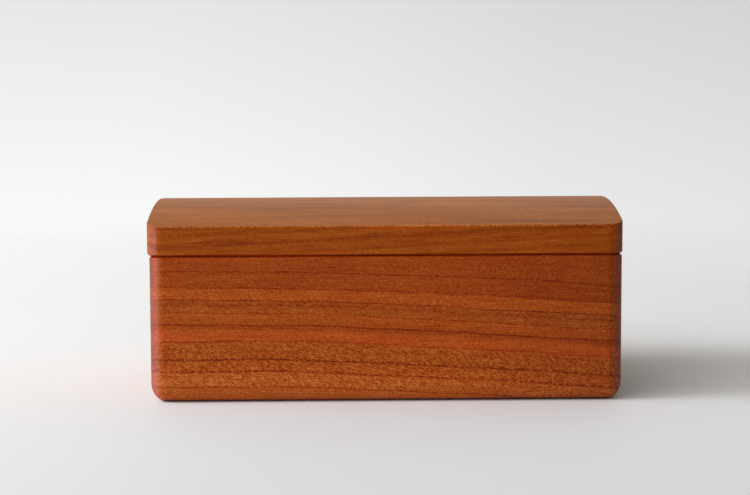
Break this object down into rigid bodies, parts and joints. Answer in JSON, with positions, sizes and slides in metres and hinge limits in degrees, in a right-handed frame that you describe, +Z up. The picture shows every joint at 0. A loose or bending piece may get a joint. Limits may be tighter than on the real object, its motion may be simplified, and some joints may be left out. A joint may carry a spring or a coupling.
{
  "type": "hinged wooden box",
  "caption": "Small rectangular cherry keepsake box with rounded corners and a hinged lid with a low arched top.",
  "frame": {"origin": "on the table, under the middle of the closed box", "axes": "+Z up, +X along the box's length, front faces -Y"},
  "size_m": [0.181, 0.108, 0.074],
  "materials": {
    "body_wood": "oiled red-brown cherry, satin",
    "lid_wood": "oiled yellow-brown cherry, satin",
    "floor_wood": "oiled cherry, matte",
    "key_wood": "bare beech",
    "felt": "dark brown wool felt",
    "hinge_brass": "satin, lightly aged",
    "pin_brass": "satin",
    "screw_brass": "polished"
  },
  "bodies": {
    "body": {"front_wall": "body_wood", "back_wall": "body_wood", "left_wall": "body_wood", "right_wall": "body_wood", "mitre_keys": "key_wood", "floor_panel": "floor_wood", "floor_felt": "felt", "left_hinge_body_leaf": "hinge_brass", "right_hinge_body_leaf": "hinge_brass", "left_hinge_pin": "pin_brass", "right_hinge_pin": "pin_brass", "body_leaf_screws": "screw_brass"},
    "lid": {"lid_panel": "lid_wood", "left_hinge_lid_leaf": "hinge_brass", "right_hinge_lid_leaf": "hinge_brass", "lid_leaf_screws": "screw_brass"}
  },
  "joints": [
    {"name": "lid_hinge", "type": "hinge", "parent": "body", "child": "lid", "pos_m": [0, 0.0515, 0.0561], "axis": [-1, 0, 0], "range_deg": [0, 95]}
  ]
}
